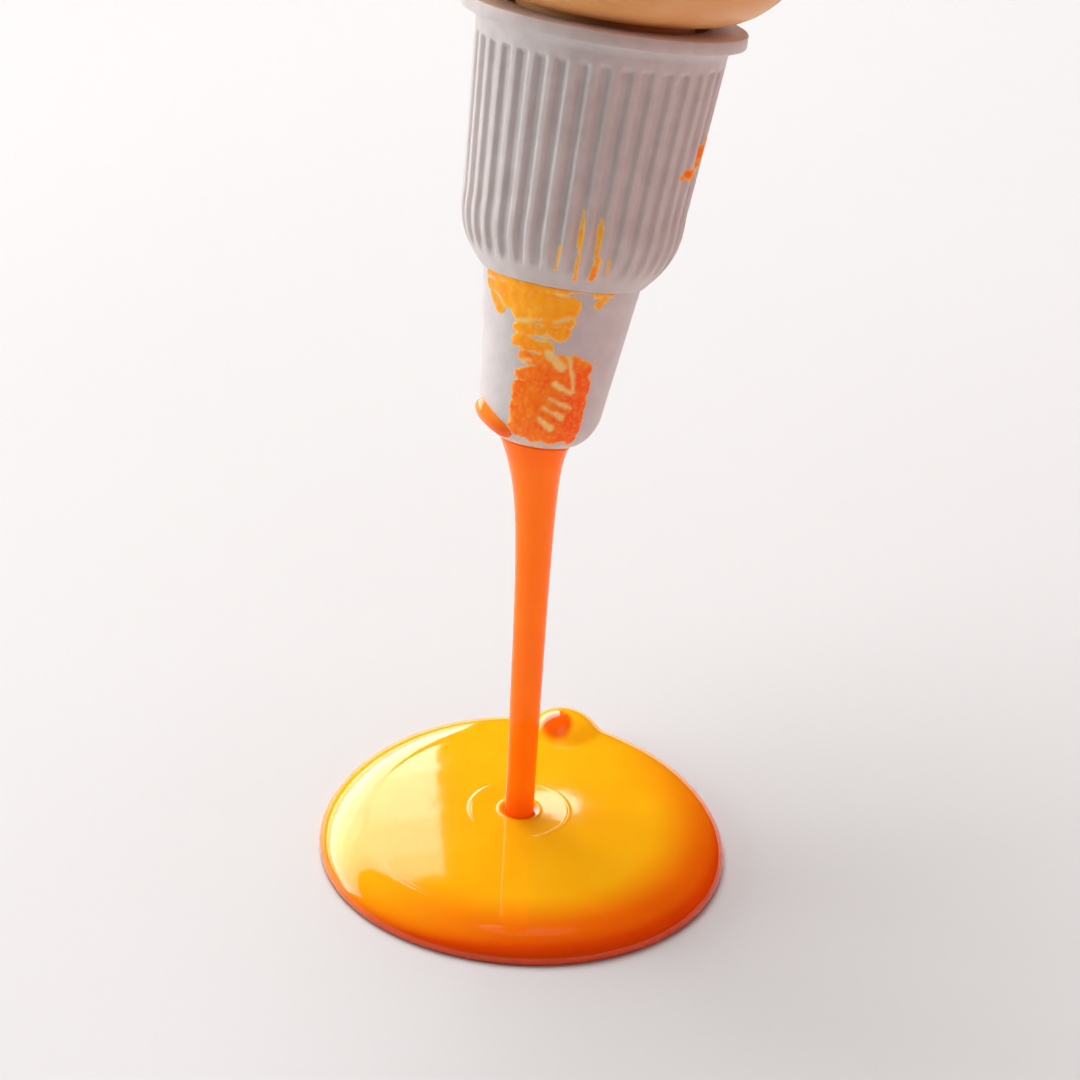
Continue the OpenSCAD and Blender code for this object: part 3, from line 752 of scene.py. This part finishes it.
foam, foam_tree, foam_shader = nodes_of("liner_foam_white")
foam_tree.links.new(ramp(foam_tree, grain(foam_tree, 2400, 4), (0.70, 0.71, 0.73),
                         (0.84, 0.85, 0.86)), foam_shader.inputs["Base Color"])
foam_tree.links.new(spread(foam_tree, grain(foam_tree, 1500, 2), 0.6, 0.8),
                    foam_shader.inputs["Roughness"])
bump(foam_tree, foam_shader, grain(foam_tree, 3200, 3), 0.0001, 0.6)
for node_name, material in (("liner_wad", foam), ("paint_fill", inner_paint)):
    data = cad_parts[node_name].data
    data.materials.clear()
    data.materials.append(material)


# ---------------------------------------------------------------- floor, light and camera

floor_material, floor_tree, floor_shader = nodes_of("floor_pale")
floor_tree.links.new(ramp(floor_tree, grain(floor_tree, 3, 2), (0.60, 0.615, 0.625),
                          (0.62, 0.635, 0.645)), floor_shader.inputs["Base Color"])
floor_shader.inputs["Roughness"].default_value = 0.9
floor_shader.inputs["Specular IOR Level"].default_value = 0.1
FLOOR_HALF, FLOOR_Z = 3000, -0.05  # millimetres
corners = [(-FLOOR_HALF, -FLOOR_HALF, FLOOR_Z), (FLOOR_HALF, -FLOOR_HALF, FLOOR_Z),
           (FLOOR_HALF, FLOOR_HALF, FLOOR_Z), (-FLOOR_HALF, FLOOR_HALF, FLOOR_Z)]
floor = mesh_piece("studio_floor", np.array(corners, float), [(0, 1, 2, 3)], floor_material)


def area_light(name, place, target, size, power, colour, shape="RECTANGLE"):
    """A flat light at a place, aimed at a target. Lengths are in metres and power in watts."""
    lamp = bpy.data.lights.new(name, "AREA")
    lamp.shape = shape
    lamp.size, lamp.size_y = size
    lamp.energy = power
    lamp.color = colour
    holder = bpy.data.objects.new(name, lamp)
    bpy.context.scene.collection.objects.link(holder)
    holder.location = place
    aim = Vector(target) - Vector(place)
    holder.rotation_mode = "QUATERNION"
    holder.rotation_quaternion = aim.to_track_quat("-Z", "Y")
    return holder


def from_angles(azimuth, elevation, distance):
    """A place seen from the stream's foot; azimuth 0 is behind the object, negative is left."""
    a, e = math.radians(azimuth), math.radians(elevation)
    return (distance * math.sin(a) * math.cos(e), distance * math.cos(a) * math.cos(e),
            distance * math.sin(e))


TARGET = (0.0, 0.0, 0.03)

# the window stands behind the object and to its left
WINDOW_HEADING, WINDOW_AWAY = math.radians(-35), 1.0
WINDOW_SILL, WINDOW_LEFT, WINDOW_RIGHT = 0.16, -1.0, 0.6
WINDOW_WIDTH, WINDOW_MIDDLE = WINDOW_RIGHT - WINDOW_LEFT, (WINDOW_LEFT + WINDOW_RIGHT) / 2
# panes from the sill up: top edge and share of the full brightness
WINDOW_PANES = [(0.34, 0.75), (0.54, 1.0), (0.68, 0.8), (0.80, 0.62), (0.90, 0.48), (0.98, 0.36)]
WINDOW_HEAD = WINDOW_PANES[-1][0]
PANE_WATTS_PER_M2, DAYLIGHT_WATTS = 23.0, 12.5


def window_light(name, low, high, power, colour):
    """A band of the window between two heights, upright and facing the object."""
    facing = Vector((-math.sin(WINDOW_HEADING), -math.cos(WINDOW_HEADING), 0))
    along = Vector((math.cos(WINDOW_HEADING), -math.sin(WINDOW_HEADING), 0))
    place = along * WINDOW_MIDDLE - facing * WINDOW_AWAY
    place.z = (low + high) / 2
    return area_light(name, place, place + facing, (WINDOW_WIDTH, high - low), power, colour)


# the panes are what glossy surfaces reflect, and daylight is what the window casts
panes, pane_low = [], WINDOW_SILL
for pane_high, brightness in WINDOW_PANES:
    pane_area = WINDOW_WIDTH * (pane_high - pane_low)
    panes.append(window_light(f"window_{len(panes) + 1}", pane_low, pane_high,
                              PANE_WATTS_PER_M2 * brightness * pane_area, (1.0, 0.985, 0.93)))
    pane_low = pane_high
daylight = window_light("daylight", WINDOW_SILL, WINDOW_HEAD, DAYLIGHT_WATTS, (1.0, 0.985, 0.95))
overhead = area_light("overhead", (-0.2, 0.55, 1.4), TARGET, (0.9, 0.9), 25, (1.0, 0.96, 0.94))
ceiling = area_light("ceiling", (0, 0, 3.0), (0, 0, 0), (6.0, 6.0), 50, (1.0, 0.98, 0.97))
lamp = area_light("round_lamp", from_angles(1.4, 33.3, 1.2), TARGET, (0.058, 0.058), 0.05,
                  (1.0, 0.93, 0.86), "DISK")
fill = area_light("warm_fill", (1.1, -0.5, 0.45), TARGET, (0.9, 0.9), 3.6, (1.0, 0.38, 0.31))
bounce = area_light("amber_bounce", (-0.1, -0.9, 0.02), (0, 0, 0.08), (0.5, 0.2), 0.5,
                    (1.0, 0.62, 0.36))
left_fill = area_light("left_fill", (-1.2, 0.1, 0.4), TARGET, (0.6, 0.6), 7.0, (1.0, 1.0, 1.0))
for light in (*panes, daylight, overhead, ceiling, lamp, fill, bounce, left_fill):
    light.visible_camera = False
for light in (daylight, overhead, ceiling, fill, bounce, left_fill):
    light.visible_glossy = False
for light in panes:
    light.visible_diffuse = False

world = bpy.data.worlds.new("soft_room")
world.use_nodes = True
room = world.node_tree
ambient = room.nodes["Background"]
ambient.inputs["Color"].default_value = (1.0, 0.92, 0.90, 1)
ambient.inputs["Strength"].default_value = 0.06
backdrop = add(room, "ShaderNodeBackground", Color=(1.0, 0.985, 0.97, 1), Strength=0.72)
choose = add(room, "ShaderNodeMixShader")
seen = add(room, "ShaderNodeLightPath")
room.links.new(seen.outputs["Is Camera Ray"], choose.inputs["Fac"])
room.links.new(ambient.outputs["Background"], choose.inputs[1])
room.links.new(backdrop.outputs["Background"], choose.inputs[2])
room.links.new(choose.outputs["Shader"], room.nodes["World Output"].inputs["Surface"])
world.cycles_visibility.glossy = False
bpy.context.scene.world = world
bpy.context.scene.view_settings.view_transform = "Standard"

PITCH_DOWN, ROLL = math.radians(31.9), math.radians(3.3)
CAMERA_PLACE, LENS_MM, SENSOR_MM = (0.00077, -0.72184, 0.50049), 200.08, 36
CLIP_NEAR, CLIP_FAR = 0.05, 20
forward = Vector((0, math.cos(PITCH_DOWN), -math.sin(PITCH_DOWN)))
up = Vector((0, math.sin(PITCH_DOWN), math.cos(PITCH_DOWN)))
right = Vector((1, 0, 0))
camera_x = right * math.cos(ROLL) + up * math.sin(ROLL)
camera_y = up * math.cos(ROLL) - right * math.sin(ROLL)
camera = bpy.data.objects.new("camera", bpy.data.cameras.new("camera"))
bpy.context.scene.collection.objects.link(camera)
camera.data.lens, camera.data.sensor_width = LENS_MM, SENSOR_MM
camera.data.clip_start, camera.data.clip_end = CLIP_NEAR, CLIP_FAR
camera.matrix_world = Matrix.Translation(CAMERA_PLACE) @ Matrix(
    (camera_x, camera_y, -forward)).transposed().to_4x4()
bpy.context.scene.camera = camera

bpy.context.view_layer.update()
